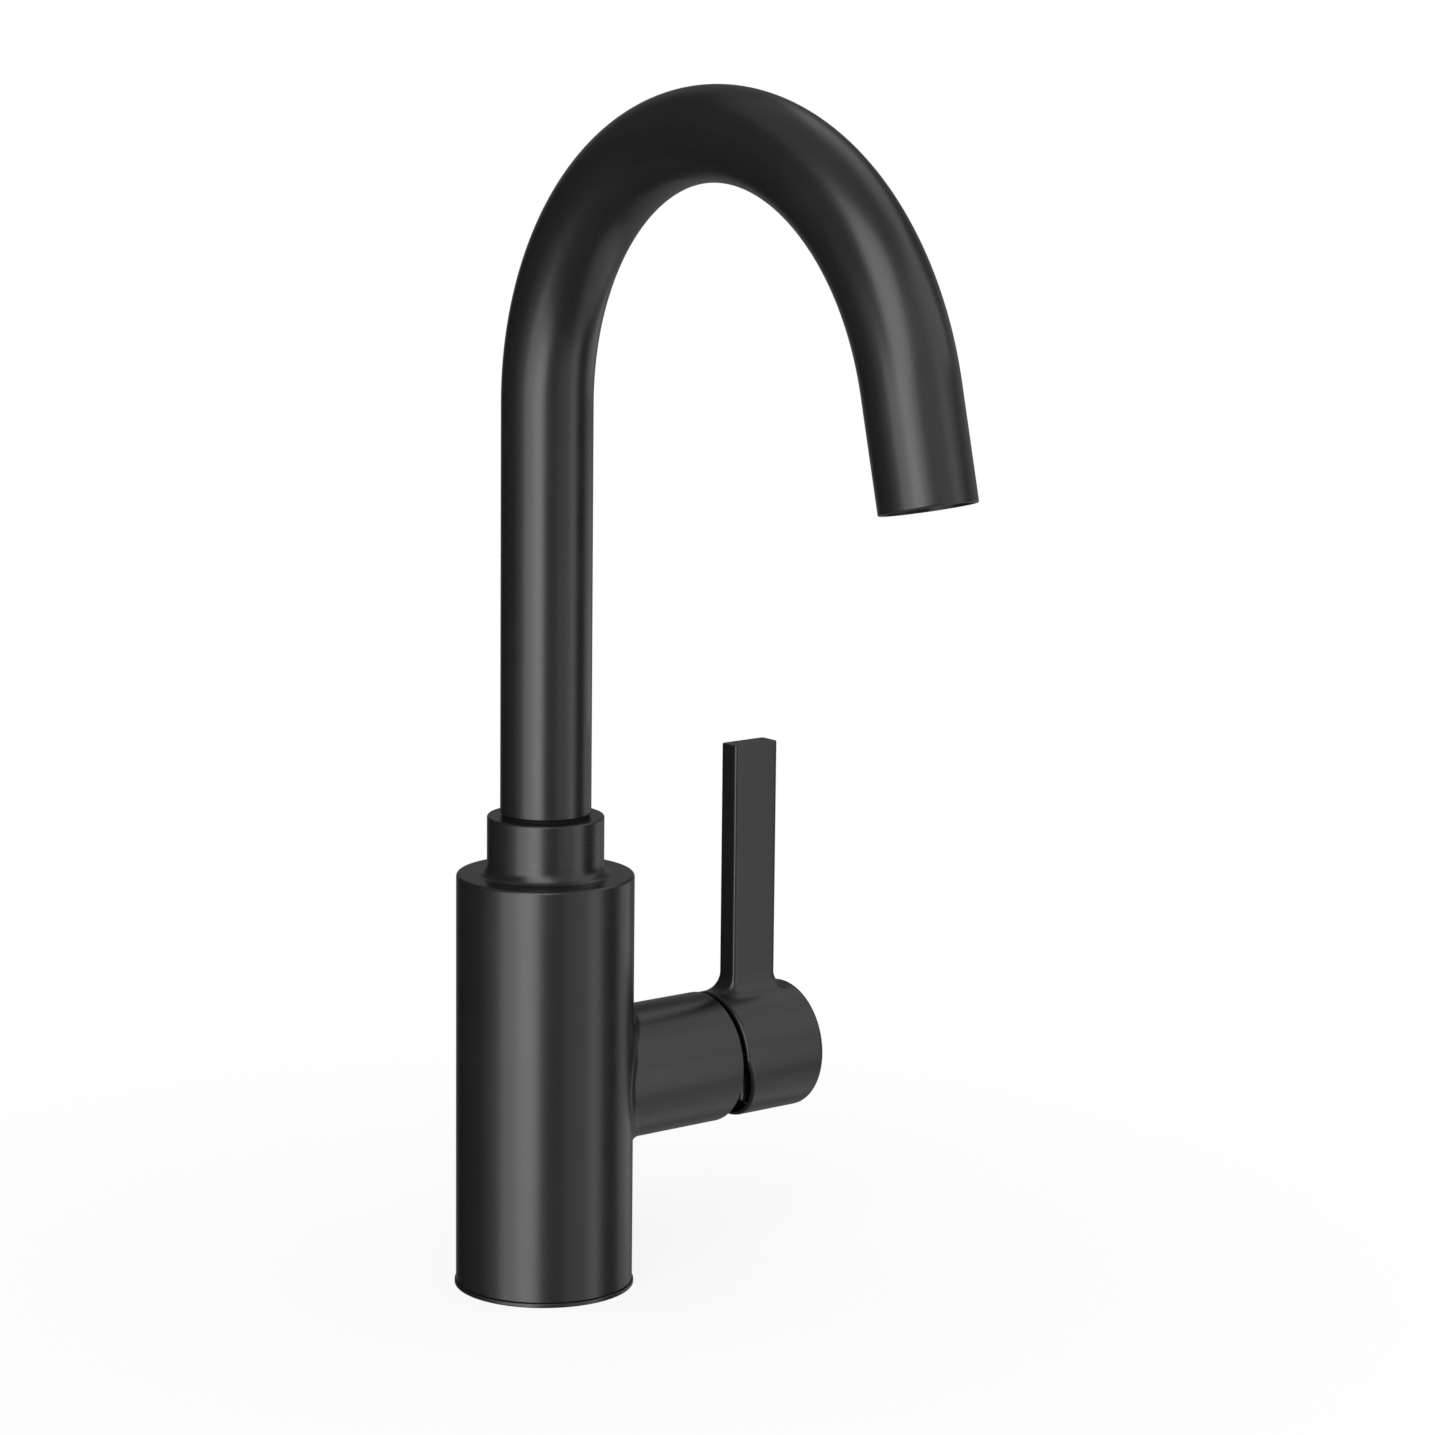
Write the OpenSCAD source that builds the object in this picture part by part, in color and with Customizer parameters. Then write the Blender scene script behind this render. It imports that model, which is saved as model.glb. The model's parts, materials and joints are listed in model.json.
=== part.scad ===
// Single-lever gooseneck bar faucet, in millimetres.
// Z points up from the deck and passes through the middle of the column.
// The spout points along -Y at rest. The valve and its handle lie along +X.

/* [Column] */
// Outer diameter of the column
column_d = 49.8; // [48:0.2:56]
// Height of the column's top face above the deck
column_h = 118.4; // [114:0.2:140]
// Wall of the column around its cavity
column_wall = 3; // [2.4:0.1:3.4]
// Thickness of the column's top, which the collar clamps
column_top = 6; // [4:0.5:8]
// Rounding of the column's top edge
column_edge = 0.8; // [0.3:0.1:1.5]
// Height of the base ring under the column
base_ring_h = 1.2; // [1:0.1:2.5]
// How far the base ring stands proud of the column
base_ring_proud = 0.4; // [0.2:0.1:1]

/* [Shank and inlets] */
// Bore of the threaded socket for the mounting shank
shank_bore_d = 30.4; // [27:0.2:31]
// Depth of the shank socket
shank_depth = 11; // [8:0.5:14]
// Bore of the threaded inlet ports
inlet_bore_d = 9; // [7:0.2:10]
// Thread length of the inlet ports
inlet_depth = 9; // [7:0.5:11]
// Distance between the hot and cold inlets
inlet_spacing = 15; // [14:0.2:17]

/* [Side valve] */
// Height of the valve axis above the deck
axis_z = 56.9; // [52:0.1:64]
// Outer diameter of the side stub
stub_d = 37.6; // [36.4:0.2:42]
// Wall of the stub around the cartridge nut
stub_wall = 3; // [2:0.1:3.4]
// How far the stub's rim lies beyond the lever's pivot pin
stub_past_pivot = 10.5; // [9.5:0.05:12.5]
// Distance of the cartridge seat from the column's axis
seat_x = 15; // [13:0.5:16]
// Outer diameter of the cartridge housing
cartridge_d = 27; // [26:0.2:28]
// Wall of the cartridge housing
cartridge_wall = 2.5; // [2:0.1:3]

/* [Cartridge insides] */
// Thickness of the cartridge's base plate
base_plate_t = 5; // [4:0.5:7]
// Thickness of the fixed ceramic disc
fixed_disc_t = 4.5; // [3.5:0.5:6]
// Thickness of the moving ceramic disc
moving_disc_t = 3.5; // [3:0.5:5]
// Thickness of the carrier behind the moving disc
carrier_t = 8; // [7:0.5:10]
// Diameter of the ball on the stem's inner end
ball_d = 6; // [5:0.2:6.6]
// Distance from the pivot pin to the ball's centre
ball_arm = 12; // [11:0.25:14]
// Largest lift of the lever, in degrees
lift_max = 18; // [12:1:19]
// Diameter of the pivot pin
pin_d = 3; // [2:0.2:3.6]

/* [Handle] */
// Outer diameter of the handle's hub
hub_d = 37; // [36:0.2:40]
// Wall of the hub
hub_wall = 3; // [2.2:0.1:3.4]
// Length of the hub along the valve axis
hub_len = 27.7; // [25:0.1:34]
// Gap between the stub's rim and the hub's rim
hub_gap = 1.9; // [1.6:0.1:3]
// Slope of the relief cut under the hub's rim, in degrees
relief_angle = 16.8; // [15:0.2:20]
// Height above the valve axis where the relief cut starts
relief_start = 2; // [0:0.25:4]
// Rounding of the hub's end face
hub_edge = 1; // [0.4:0.1:2]
// Width of the lever along the valve axis
lever_w = 15.2; // [12:0.2:17]
// Thickness of the lever
lever_t = 6.3; // [5:0.1:8]
// Height of the lever's end above the valve axis
lever_h = 90.7; // [70:0.1:110]
// Fillet at the lever's foot on the column side, which sets the lever in from the hub's rim
foot_fillet_in = 6; // [4:0.25:8]
// Fillet at the lever's foot on the outer side
foot_fillet_out = 2.5; // [1.5:0.25:3.5]
// Thread diameter of the handle's set screw
set_screw_d = 5; // [4:0.5:6]
// Width of the stem's flats, across the pivot pin
stem_w = 6; // [5:0.2:7]
// Height of the stem's section
stem_h = 8; // [7:0.2:8.6]

/* [Spout] */
// Outer diameter of the spout tube
tube_d = 25.4; // [24.6:0.2:28]
// Wall of the spout tube
tube_wall = 1.2; // [1:0.1:1.5]
// Straight rise of the tube from the collar's top to the bend
spout_rise = 115.2; // [80:0.2:160]
// Centre-line radius of the gooseneck bend
bend_r = 77.4; // [50:0.2:110]
// Angle of the gooseneck bend, in degrees
bend_angle = 165.9; // [140:0.1:178]
// Straight length from the bend to the outlet
tip_len = 30.3; // [24:0.1:60]
// Rounding of the tube's outer edges
tube_edge = 0.4; // [0.2:0.1:0.6]

/* [Collar and swivel] */
// Outer diameter of the spout collar
collar_d = 32.7; // [30:0.1:36]
// Height of the spout collar above the column
collar_h = 16.5; // [13:0.1:24]
// Radius of the cove at the collar's foot
collar_cove = 2.5; // [1:0.1:3.5]
// Diameter of the spout stem's journal
journal_d = 20.2; // [18.6:0.2:20.6]
// Wall of the swivel bearings
bearing_t = 1.17; // [1:0.01:1.5]
// Wall of the collar's threaded spigot
spigot_wall = 1.5; // [1.2:0.1:2.2]
// Length of the collar's threaded spigot
spigot_len = 17; // [15:0.5:20]
// Diameter of the stem's nose below the journal
nose_d = 17.4; // [16:0.2:17.8]
// Length of the stem's nose
nose_len = 13; // [11:0.5:16]
// Cord diameter of the nose's o-rings
o_ring_cord = 1.8; // [1.4:0.1:2]

/* [Aerator] */
// How far the aerator lies inside the outlet
aerator_recess = 0.9; // [0.4:0.1:2]
// Length of the aerator housing
aerator_len = 9; // [7:0.5:12]
// Rings of holes in the aerator's screen
screen_rings = 4; // [2:1:5]
// Diameter of a hole in the screen
screen_hole_d = 1.3; // [0.9:0.1:1.4]

/* [Hidden] */
$fn = 96;
// Cutting solids run past the faces that they cut by this much
cut = 2;
// Step at a joined bend, which keeps two of its faces from lying in each other
joint_step = 0.005;
// Radial clearance of a turning fit
run_fit = 0.08;
// Radial clearance of a threaded or brazed fit
close_fit = 0.05;
// Clearance between pieces that only lie near each other
free_gap = 0.3;

// Column and the cavity inside it
column_r = column_d / 2;
cavity_r = column_r - column_wall;
shell_z = base_ring_h;
cavity_top_z = column_h - column_top;
core_clear_r = cavity_r - 0.5;

// Base ring and gasket
ring_r = column_r + base_ring_proud;
ring_in_r = cavity_r - 2.4;
ring_lip_h = 3;
gasket_w = 2.3;
gasket_t = 0.7;
gasket_mid_r = (cavity_r + column_r) / 2 - 0.6;

// Spout swivel, from the inside out
journal_r = journal_d / 2;
bearing_in_r = journal_r + run_fit;
bearing_out_r = bearing_in_r + bearing_t;
collar_bore_r = bearing_out_r + close_fit;
spigot_r = collar_bore_r + spigot_wall;
socket_r = spigot_r + close_fit;
deck_hole_r = spigot_r + free_gap;
post_r = socket_r + 4;
collar_r = collar_d / 2;
collar_top_z = column_h + collar_h;
collar_edge = 0.5;
bearing_flange_t = 1;
bearing_flange_r = tube_d / 2 - 0.5;
bearing_h = 14;
lower_bearing_h = 5.5;
tube_z = collar_top_z + bearing_flange_t + 0.1;
spigot_z = column_h - spigot_len;

// Spout stem
nose_r = nose_d / 2;
nose_bore_r = nose_r + free_gap;
stem_top_len = 16;
snap_ring_t = 1.6;
snap_ring_z = spigot_z - 0.2 - snap_ring_t;
snap_groove_r = journal_r - 1;
snap_ring_r = socket_r - 0.8;
nose_z = snap_ring_z - 1;
nose_end_z = nose_z - nose_len;
socket_z = nose_z - 0.4;
nose_bore_z = nose_end_z - 1;
o_ring_r = o_ring_cord / 2;
o_ring_mid_r = nose_bore_r - close_fit - o_ring_r;
o_ring_groove_r = o_ring_mid_r - o_ring_r - close_fit;
o_ring_inset = 3;
o_ring_pitch = 5;
o_ring_z = [nose_end_z + o_ring_inset, nose_end_z + o_ring_inset + o_ring_pitch];
stem_water_r = o_ring_groove_r - 1.2;

// Spout tube
tube_r = tube_d / 2;
tube_in_r = tube_r - tube_wall;
bend_z = collar_top_z + spout_rise;

// Outlet insert and aerator, measured back from the outlet
insert_r = tube_in_r - close_fit;
insert_in_r = insert_r - 1.1;
insert_step_r = insert_in_r - 2.2;
aerator_r = insert_in_r - close_fit;
aerator_in_r = aerator_r - 1.6;
screen_r = aerator_in_r - close_fit;
screen_t = 0.8;
screen_z = aerator_recess + 1.2;
lip_in_r = aerator_in_r - 0.8;
regulator_t = 3.5;
gasket_z = aerator_recess + aerator_len;
aerator_gasket_t = 1.5;
insert_len = aerator_recess + aerator_len + aerator_gasket_t + 2;

// Valve stack along the valve axis
base_x = seat_x + free_gap;
fixed_disc_x = base_x + base_plate_t;
disc_film = 0.05;
moving_disc_x = fixed_disc_x + fixed_disc_t + disc_film;
carrier_x = moving_disc_x + moving_disc_t;
ball_r = ball_d / 2;
ball_x = carrier_x + carrier_t - 2;
pivot_x = ball_x + ball_arm;
rim_x = pivot_x + stub_past_pivot;
hub_rim_x = rim_x + hub_gap;
hub_end_x = hub_rim_x + hub_len;

// Cartridge
cartridge_r = cartridge_d / 2;
housing_bore_r = cartridge_r - cartridge_wall;
cartridge_hole_r = cartridge_r + 0.4;
spigot_depth = base_plate_t - 2;
disc_travel = ball_arm * lift_max * PI / 180;
moving_disc_r = housing_bore_r - disc_travel / 2 - free_gap;
disc_shift = -disc_travel / 2;
rotor_r = housing_bore_r - run_fit;
neck_r = rotor_r - 1.8;
lip_r = neck_r + run_fit;
rotor_x = carrier_x + carrier_t + 0.4;
neck_x = pivot_x - pin_d;
rotor_past_pin = 4.5;
rotor_end_x = pivot_x + rotor_past_pin;
flange_x = neck_x - 3;
flange_t = 3;
housing_end_x = neck_x + 4;
collar_out_r = cartridge_r - 1.4;
slot_w = stem_w + 0.4;
slot_h = 13;
pin_r = pin_d / 2;
pin_len = 2 * neck_r - 0.8;

// Stub bores, nut and dome
stub_r = stub_d / 2;
stub_bore_r = stub_r - stub_wall;
stub_edge = 0.5;
nut_r = stub_bore_r - close_fit;
nut_in_r = collar_out_r + free_gap;
nut_x = flange_x + flange_t;
nut_end_x = rotor_end_x + free_gap;
nut_slots = 6;
housing_flange_r = stub_bore_r - free_gap;
hub_r = hub_d / 2;
hub_in_r = hub_r - hub_wall;
dome_x = nut_end_x;
dome_r = min(hub_in_r, stub_bore_r) - 0.6;
dome_wall = 1.4;
dome_flange_t = 1.8;
// The dome is part of a ball about the pivot, just inside the ball that the hub's inner rim sweeps
dome_ball_r = sqrt(pow(hub_rim_x - pivot_x, 2) + pow(hub_in_r, 2)) - free_gap - 0.1;
dome_open_r = dome_ball_r * sin(lift_max + asin(stem_h / 2 / dome_ball_r)) + 1;

// Ports of the valve body, the base plate and the fixed disc
port_y = 5;
port_dz = -4;
port_r = 2.3;
outlet_dz = 5.4;
outlet_r = 2.8;
seal_wall = 1.2;
seal_t = 2;
feed_r = 3.1;
riser_r = 5;

// Stem and handle
stem_before_pin = 5;
stem_start_x = pivot_x - stem_before_pin;
stem_rod_r = ball_r - 0.8;
socket_inset = 7.3;
socket_len = 10;
socket_x = hub_rim_x + socket_inset;
stem_end_x = socket_x + socket_len;
hub_end_wall = 4;
boss_r = 7.5;
stem_fit = 0.1;
lever_x = hub_rim_x + foot_fillet_in;
lever_end_x = lever_x + lever_w;
foot_z = sqrt(pow(hub_r, 2) - pow(lever_t / 2, 2));
screw_r = set_screw_d / 2;
screw_inset = 5.5;
screw_x = socket_x + screw_inset;
screw_len = 8;
screw_boss_r = screw_r + 2;

// ---- Placing -------------------------------------------------------------

// Children that stand along local Z are laid along the valve axis: local z is the global x
module on_valve_axis() {
    translate([0, 0, axis_z]) rotate([0, 90, 0]) children();
}

// Children are placed in the plane of the bend: local x points forward, local y up
module in_bend_plane() {
    translate([0, -bend_r, bend_z]) rotate([90, 0, 90]) children();
}

// Children are placed at the outlet, with local z pointing out of it
module at_outlet() {
    in_bend_plane() rotate([0, 0, bend_angle]) translate([bend_r, tip_len, 0]) rotate([-90, 0, 0])
        children();
}

// ---- Shared shapes -------------------------------------------------------

// A tube from z to z + h
module ring(z, h, r, bore) {
    translate([0, 0, z]) difference() {
        cylinder(h = h, r = r);
        translate([0, 0, -cut]) cylinder(h = h + 2 * cut, r = bore);
    }
}

// A rod from z to z + h
module rod(z, h, r) {
    translate([0, 0, z]) cylinder(h = h, r = r);
}

// Half section of a rod whose upper outer edge is rounded
module rounded_rod_section(z, h, r, edge) {
    difference() {
        translate([0, z]) square([r, h]);
        translate([r - edge, z + h - edge]) difference() {
            square(edge + 1);
            circle(edge);
        }
    }
}

// The plain gooseneck: rise, bend and outlet, of one radius
module gooseneck(r, start_z, over) {
    translate([0, 0, start_z - over]) cylinder(h = bend_z - start_z + over, r = r);
    in_bend_plane() {
        rotate_extrude(angle = bend_angle) translate([bend_r, 0]) circle(r);
        rotate([0, 0, bend_angle]) translate([bend_r, -0.5, 0]) rotate([-90, 0, 0])
            cylinder(h = tip_len + 0.5 + over, r = r - joint_step);
    }
}

// The three water ports of the valve seat, as rods along the valve axis
module port_rods(x, len, inlet_r, mixed_r) {
    for (side = [-1, 1]) translate([-port_dz, side * port_y, x]) cylinder(h = len, r = inlet_r);
    translate([-outlet_dz, 0, x]) cylinder(h = len, r = mixed_r);
}

// ---- Column --------------------------------------------------------------

module base_gasket() {
    color("dimgray") ring(0, gasket_t, gasket_mid_r + gasket_w / 2, gasket_mid_r - gasket_w / 2);
}

module base_ring() {
    color([0.13, 0.13, 0.13]) difference() {
        union() {
            ring(0, base_ring_h, ring_r, ring_in_r);
            ring(base_ring_h, ring_lip_h, cavity_r - free_gap, ring_in_r);
        }
        translate([0, 0, -cut])
            ring(0, gasket_t + cut, gasket_mid_r + gasket_w / 2 + 0.1, gasket_mid_r - gasket_w / 2 - 0.1);
    }
}

module body_shell() {
    seam = 0.3;
    color([0.16, 0.16, 0.17]) difference() {
        union() {
            rotate_extrude() difference() {
                rounded_rod_section(shell_z, column_h - shell_z, column_r, column_edge);
                translate([column_r, shell_z]) rotate(45) square(seam * sqrt(2), center = true);
            }
            on_valve_axis() rotate_extrude() rounded_rod_section(0, rim_x, stub_r, stub_edge);
        }
        translate([0, 0, shell_z - cut]) cylinder(h = cavity_top_z - shell_z + cut, r = cavity_r);
        translate([0, 0, cavity_top_z - cut]) cylinder(h = column_top + 2 * cut, r = deck_hole_r);
        on_valve_axis() {
            rod(0, rim_x, cartridge_hole_r);
            rod(flange_x, rim_x, stub_bore_r);
        }
    }
}

module valve_body() {
    core_r = inlet_spacing / 2 + inlet_bore_d / 2 + 0.4;
    boss_h = shank_depth + inlet_depth + 3;
    block_r = cartridge_hole_r + 3;
    post_z = nose_bore_z - 4;
    riser_z = axis_z + outlet_dz - outlet_r - 1;
    color("goldenrod") difference() {
        union() {
            cylinder(h = boss_h, r = ring_in_r - free_gap);
            cylinder(h = cavity_top_z - 1, r = core_r);
            rod(post_z, cavity_top_z - post_z, post_r);
            intersection() {
                rod(0, column_h, core_clear_r);
                on_valve_axis() rod(-core_r / 2, 2 * column_r, block_r);
            }
        }
        rod(-cut, shank_depth + cut, shank_bore_d / 2);
        for (side = [-1, 1]) translate([0, side * inlet_spacing / 2, 0]) rotate(180) {
            rod(shank_depth - cut, inlet_depth + cut, inlet_bore_d / 2);
            rod(shank_depth, axis_z + port_dz + feed_r - shank_depth, feed_r);
        }
        rod(riser_z, nose_bore_z + cut - riser_z, riser_r);
        rod(nose_bore_z, column_h, nose_bore_r);
        rod(socket_z, column_h, socket_r);
        on_valve_axis() {
            rod(seat_x, column_r, cartridge_hole_r);
            port_rods(0, seat_x + cut, port_r, outlet_r);
        }
    }
}

// ---- Collar and swivel bearings ------------------------------------------

module collar() {
    color([0.17, 0.17, 0.18]) rotate_extrude() difference() {
        union() {
            rounded_rod_section(column_h, collar_h, collar_r, collar_edge);
            translate([0, spigot_z]) square([spigot_r, spigot_len + 1]);
            difference() {
                translate([0, column_h]) square([collar_r + collar_cove, collar_cove]);
                translate([collar_r + collar_cove, column_h + collar_cove]) circle(collar_cove);
            }
        }
        translate([0, spigot_z - cut]) square([collar_bore_r, spigot_len + collar_h + 2 * cut]);
    }
}

module upper_bearing() {
    color([0.05, 0.05, 0.05]) union() {
        ring(collar_top_z - bearing_h, bearing_h + bearing_flange_t, bearing_out_r, bearing_in_r);
        ring(collar_top_z, bearing_flange_t, bearing_flange_r, bearing_in_r);
    }
}

module lower_bearing() {
    color([0.05, 0.05, 0.05]) ring(spigot_z, lower_bearing_h, bearing_out_r, bearing_in_r);
}

// ---- Cartridge, fixed pieces ---------------------------------------------

module cartridge_base() {
    plate_t = base_plate_t - spigot_depth;
    color([0.85, 0.85, 0.82]) on_valve_axis() difference() {
        union() {
            rod(base_x, plate_t, cartridge_r);
            rod(base_x, base_plate_t, housing_bore_r - close_fit);
        }
        port_rods(base_x - cut, base_plate_t + 2 * cut, port_r, outlet_r);
        port_rods(base_x - cut, seal_t - free_gap + cut,
            port_r + seal_wall + close_fit, outlet_r + seal_wall + close_fit);
    }
}

module port_seals() {
    color([0.1, 0.1, 0.1]) on_valve_axis() difference() {
        port_rods(seat_x, seal_t, port_r + seal_wall, outlet_r + seal_wall);
        port_rods(seat_x - cut, seal_t + 2 * cut, port_r, outlet_r);
    }
}

module cartridge_housing() {
    start_x = base_x + base_plate_t - spigot_depth;
    color([0.92, 0.92, 0.9]) on_valve_axis() difference() {
        union() {
            rod(start_x, flange_x + flange_t - start_x, cartridge_r);
            rod(flange_x, flange_t, housing_flange_r);
            rod(flange_x, housing_end_x - flange_x, collar_out_r);
        }
        rod(start_x - cut, neck_x + run_fit - start_x + cut, housing_bore_r);
        rod(start_x, housing_end_x, lip_r);
    }
}

module fixed_disc() {
    color([0.95, 0.95, 0.97]) on_valve_axis() difference() {
        rod(fixed_disc_x, fixed_disc_t, housing_bore_r - 0.2);
        port_rods(fixed_disc_x - cut, fixed_disc_t + 2 * cut, port_r, outlet_r);
    }
}

module cartridge_nut() {
    slot = 3;
    color("darkgoldenrod") on_valve_axis() difference() {
        ring(nut_x, nut_end_x - nut_x, nut_r, nut_in_r);
        for (i = [0 : nut_slots - 1]) rotate(i * 360 / nut_slots)
            translate([nut_in_r - 1, -slot / 2, nut_end_x - 1.8]) cube([nut_r, slot, 1.8 + cut]);
    }
}

module dome() {
    color([0.04, 0.04, 0.04]) on_valve_axis() rotate_extrude() {
        translate([dome_open_r, dome_x]) square([stub_bore_r - 0.2 - dome_open_r, dome_flange_t]);
        intersection() {
            difference() {
                dome_section(dome_r, dome_ball_r);
                dome_section(dome_r - dome_wall, dome_ball_r - dome_wall);
            }
            translate([dome_open_r, dome_x]) square([stub_bore_r, hub_end_x]);
        }
    }
}

// A straight wall of radius r, closed by a ball about the pivot
module dome_section(r, ball) {
    intersection() {
        square([r, 2 * hub_end_x]);
        translate([0, pivot_x]) circle(ball);
    }
}

// ---- Cartridge, turning and sliding pieces -------------------------------

module rotor() {
    color([0.75, 0.75, 0.72]) on_valve_axis() difference() {
        union() {
            rod(rotor_x, neck_x - rotor_x, rotor_r);
            rod(rotor_x, rotor_end_x - rotor_x, neck_r);
        }
        translate([-slot_h / 2, -slot_w / 2, rotor_x - cut])
            cube([slot_h, slot_w, rotor_end_x - rotor_x + 2 * cut]);
        translate([0, 0, pivot_x]) rotate([90, 0, 0])
            cylinder(h = 4 * neck_r, r = pin_r + 0.01, center = true);
    }
}

module temperature_stop() {
    stop_t = rotor_end_x - housing_end_x - free_gap;
    teeth = 24;
    color("firebrick") on_valve_axis() translate([0, 0, rotor_end_x - stop_t]) difference() {
        union() {
            cylinder(h = stop_t, r = nut_in_r - 1.2);
            for (i = [0 : teeth - 1]) rotate(i * 360 / teeth)
                translate([nut_in_r - 1.4, -0.5, 0]) cube([0.8, 1, stop_t]);
        }
        translate([0, 0, -cut]) cylinder(h = stop_t + 2 * cut, r = neck_r + close_fit);
    }
}

module pivot_pin() {
    color("silver") translate([pivot_x, 0, axis_z]) rotate([90, 0, 0])
        cylinder(h = pin_len, r = pin_r, center = true);
}

module disc_carrier() {
    color([0.2, 0.45, 0.7]) on_valve_axis() difference() {
        union() {
            translate([-disc_shift, 0, carrier_x]) cylinder(h = carrier_t, r = moving_disc_r);
            for (side = [-1, 1]) translate([-disc_shift, side * moving_disc_r * 0.7, carrier_x - 1.2])
                cylinder(h = 2, r = 1.1);
        }
        rod(ball_x - ball_r - 0.5, carrier_t, ball_r + free_gap);
    }
}

module moving_disc() {
    chamber_r = moving_disc_r - 3;
    color([0.88, 0.88, 0.92]) on_valve_axis() translate([-disc_shift, 0, moving_disc_x]) difference() {
        cylinder(h = moving_disc_t, r = moving_disc_r);
        translate([0, 0, -cut]) cylinder(h = 1.2 + cut, r = chamber_r);
        for (side = [-1, 1]) translate([0, side * moving_disc_r * 0.7, moving_disc_t - 1.4])
            cylinder(h = 1.4 + cut, r = 1.2);
    }
}

// ---- Stem and handle -----------------------------------------------------

module stem() {
    color("silver") on_valve_axis() difference() {
        union() {
            translate([0, 0, ball_x]) sphere(ball_r);
            rod(ball_x, stem_start_x + 1 - ball_x, stem_rod_r);
            translate([-stem_h / 2, -stem_w / 2, stem_start_x])
                cube([stem_h, stem_w, stem_end_x - stem_start_x]);
        }
        translate([0, 0, pivot_x]) rotate([90, 0, 0])
            cylinder(h = 4 * stem_w, r = pin_r + run_fit, center = true);
    }
}

// Side view of the lever, in the plane of the valve axis and Z: the blade and its two foot fillets
module lever_side_section() {
    translate([lever_x, 0]) square([lever_w, lever_h]);
    difference() {
        translate([hub_rim_x, 0]) square([foot_fillet_in + 1, foot_z + foot_fillet_in]);
        translate([hub_rim_x, foot_z + foot_fillet_in]) circle(foot_fillet_in);
    }
    difference() {
        translate([lever_end_x - 1, 0]) square([foot_fillet_out + 1, foot_z + foot_fillet_out]);
        translate([lever_end_x + foot_fillet_out, foot_z + foot_fillet_out]) circle(foot_fillet_out);
    }
}

// Front view of the lever, seen along the valve axis: the blade and its blend into the round hub
module lever_front_section() {
    blend = 3;
    blend_y = lever_t / 2 + blend;
    blend_z = sqrt(pow(hub_r + blend, 2) - pow(blend_y, 2));
    translate([-lever_t / 2, 0]) square([lever_t, lever_h + 1]);
    for (side = [0, 1]) mirror([side, 0]) difference() {
        polygon([[0, 0], [blend_y, blend_z], [lever_t / 2, blend_z], [0, blend_z]]);
        translate([blend_y, blend_z]) circle(blend);
    }
}

module lever() {
    intersection() {
        translate([0, hub_r, axis_z]) rotate([90, 0, 0])
            linear_extrude(2 * hub_r) lever_side_section();
        translate([hub_rim_x, 0, axis_z]) rotate([90, 0, 90])
            linear_extrude(hub_len) lever_front_section();
    }
}

module handle() {
    cavity_end_x = hub_end_x - hub_end_wall;
    color([0.16, 0.16, 0.17]) difference() {
        union() {
            on_valve_axis() rotate_extrude()
                rounded_rod_section(hub_rim_x, hub_len, hub_r, hub_edge);
            lever();
        }
        difference() {
            on_valve_axis() rod(hub_rim_x - cut, cavity_end_x - hub_rim_x + cut, hub_in_r);
            on_valve_axis() rod(socket_x, hub_len, boss_r);
            translate([screw_x, 0, axis_z - hub_r]) cylinder(h = hub_r, r = screw_boss_r);
        }
        on_valve_axis() translate([-stem_h / 2 - stem_fit, -stem_w / 2 - stem_fit, hub_rim_x])
            cube([stem_h + 2 * stem_fit, stem_w + 2 * stem_fit, stem_end_x + 0.5 - hub_rim_x]);
        translate([screw_x, 0, axis_z - 2 * hub_r]) cylinder(h = 2 * hub_r, r = screw_r + close_fit);
        translate([hub_rim_x, 0, axis_z + relief_start]) rotate([0, 90 - relief_angle, 0])
            translate([0, -2 * hub_r, -4 * hub_r]) cube([4 * hub_r, 4 * hub_r, 4 * hub_r]);
    }
}

module handle_set_screw() {
    key_r = screw_r * 0.5;
    top_z = axis_z - stem_h / 2;
    color("dimgray") translate([screw_x, 0, top_z - screw_len]) difference() {
        cylinder(h = screw_len, r = screw_r);
        translate([0, 0, -cut]) cylinder(h = cut + 2.5, r = key_r, $fn = 6);
    }
}

// ---- Spout ---------------------------------------------------------------

module spout_tube() {
    color([0.16, 0.16, 0.17]) difference() {
        gooseneck(tube_r, tube_z, 0);
        gooseneck(tube_in_r, tube_z, cut);
        translate([0, 0, tube_z]) rotate_extrude() edge_cut_section(tube_r, tube_edge);
        at_outlet() mirror([0, 0, 1]) rotate_extrude() edge_cut_section(tube_r, tube_edge);
    }
}

// What a rounding takes off the outer edge of a tube that starts at z = 0
module edge_cut_section(r, edge) {
    translate([r - edge, edge]) difference() {
        translate([0, -edge - 1]) square(edge + 1);
        circle(edge);
    }
}

module spout_stem() {
    groove_w = o_ring_cord + 0.3;
    color("gold") rotate_extrude() difference() {
        union() {
            translate([0, tube_z]) square([insert_r, stem_top_len]);
            translate([0, nose_z]) square([journal_r, tube_z - nose_z + 1]);
            translate([0, nose_end_z]) square([nose_r, nose_len + 1]);
        }
        translate([0, nose_end_z - cut]) square([stem_water_r, column_h]);
        translate([snap_groove_r, snap_ring_z - close_fit])
            square([journal_r, snap_ring_t + 2 * close_fit]);
        for (z = o_ring_z) translate([o_ring_groove_r, z - groove_w / 2]) square([nose_r, groove_w]);
    }
}

module spout_o_rings() {
    color([0.08, 0.08, 0.08]) for (z = o_ring_z)
        rotate_extrude() translate([o_ring_mid_r, z]) circle(o_ring_r);
}

module retaining_ring() {
    opening = 5;
    color("lightgray") difference() {
        ring(snap_ring_z, snap_ring_t, snap_ring_r, snap_groove_r + close_fit);
        translate([0, -opening / 2, snap_ring_z - cut])
            cube([2 * snap_ring_r, opening, snap_ring_t + 2 * cut]);
    }
}

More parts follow.
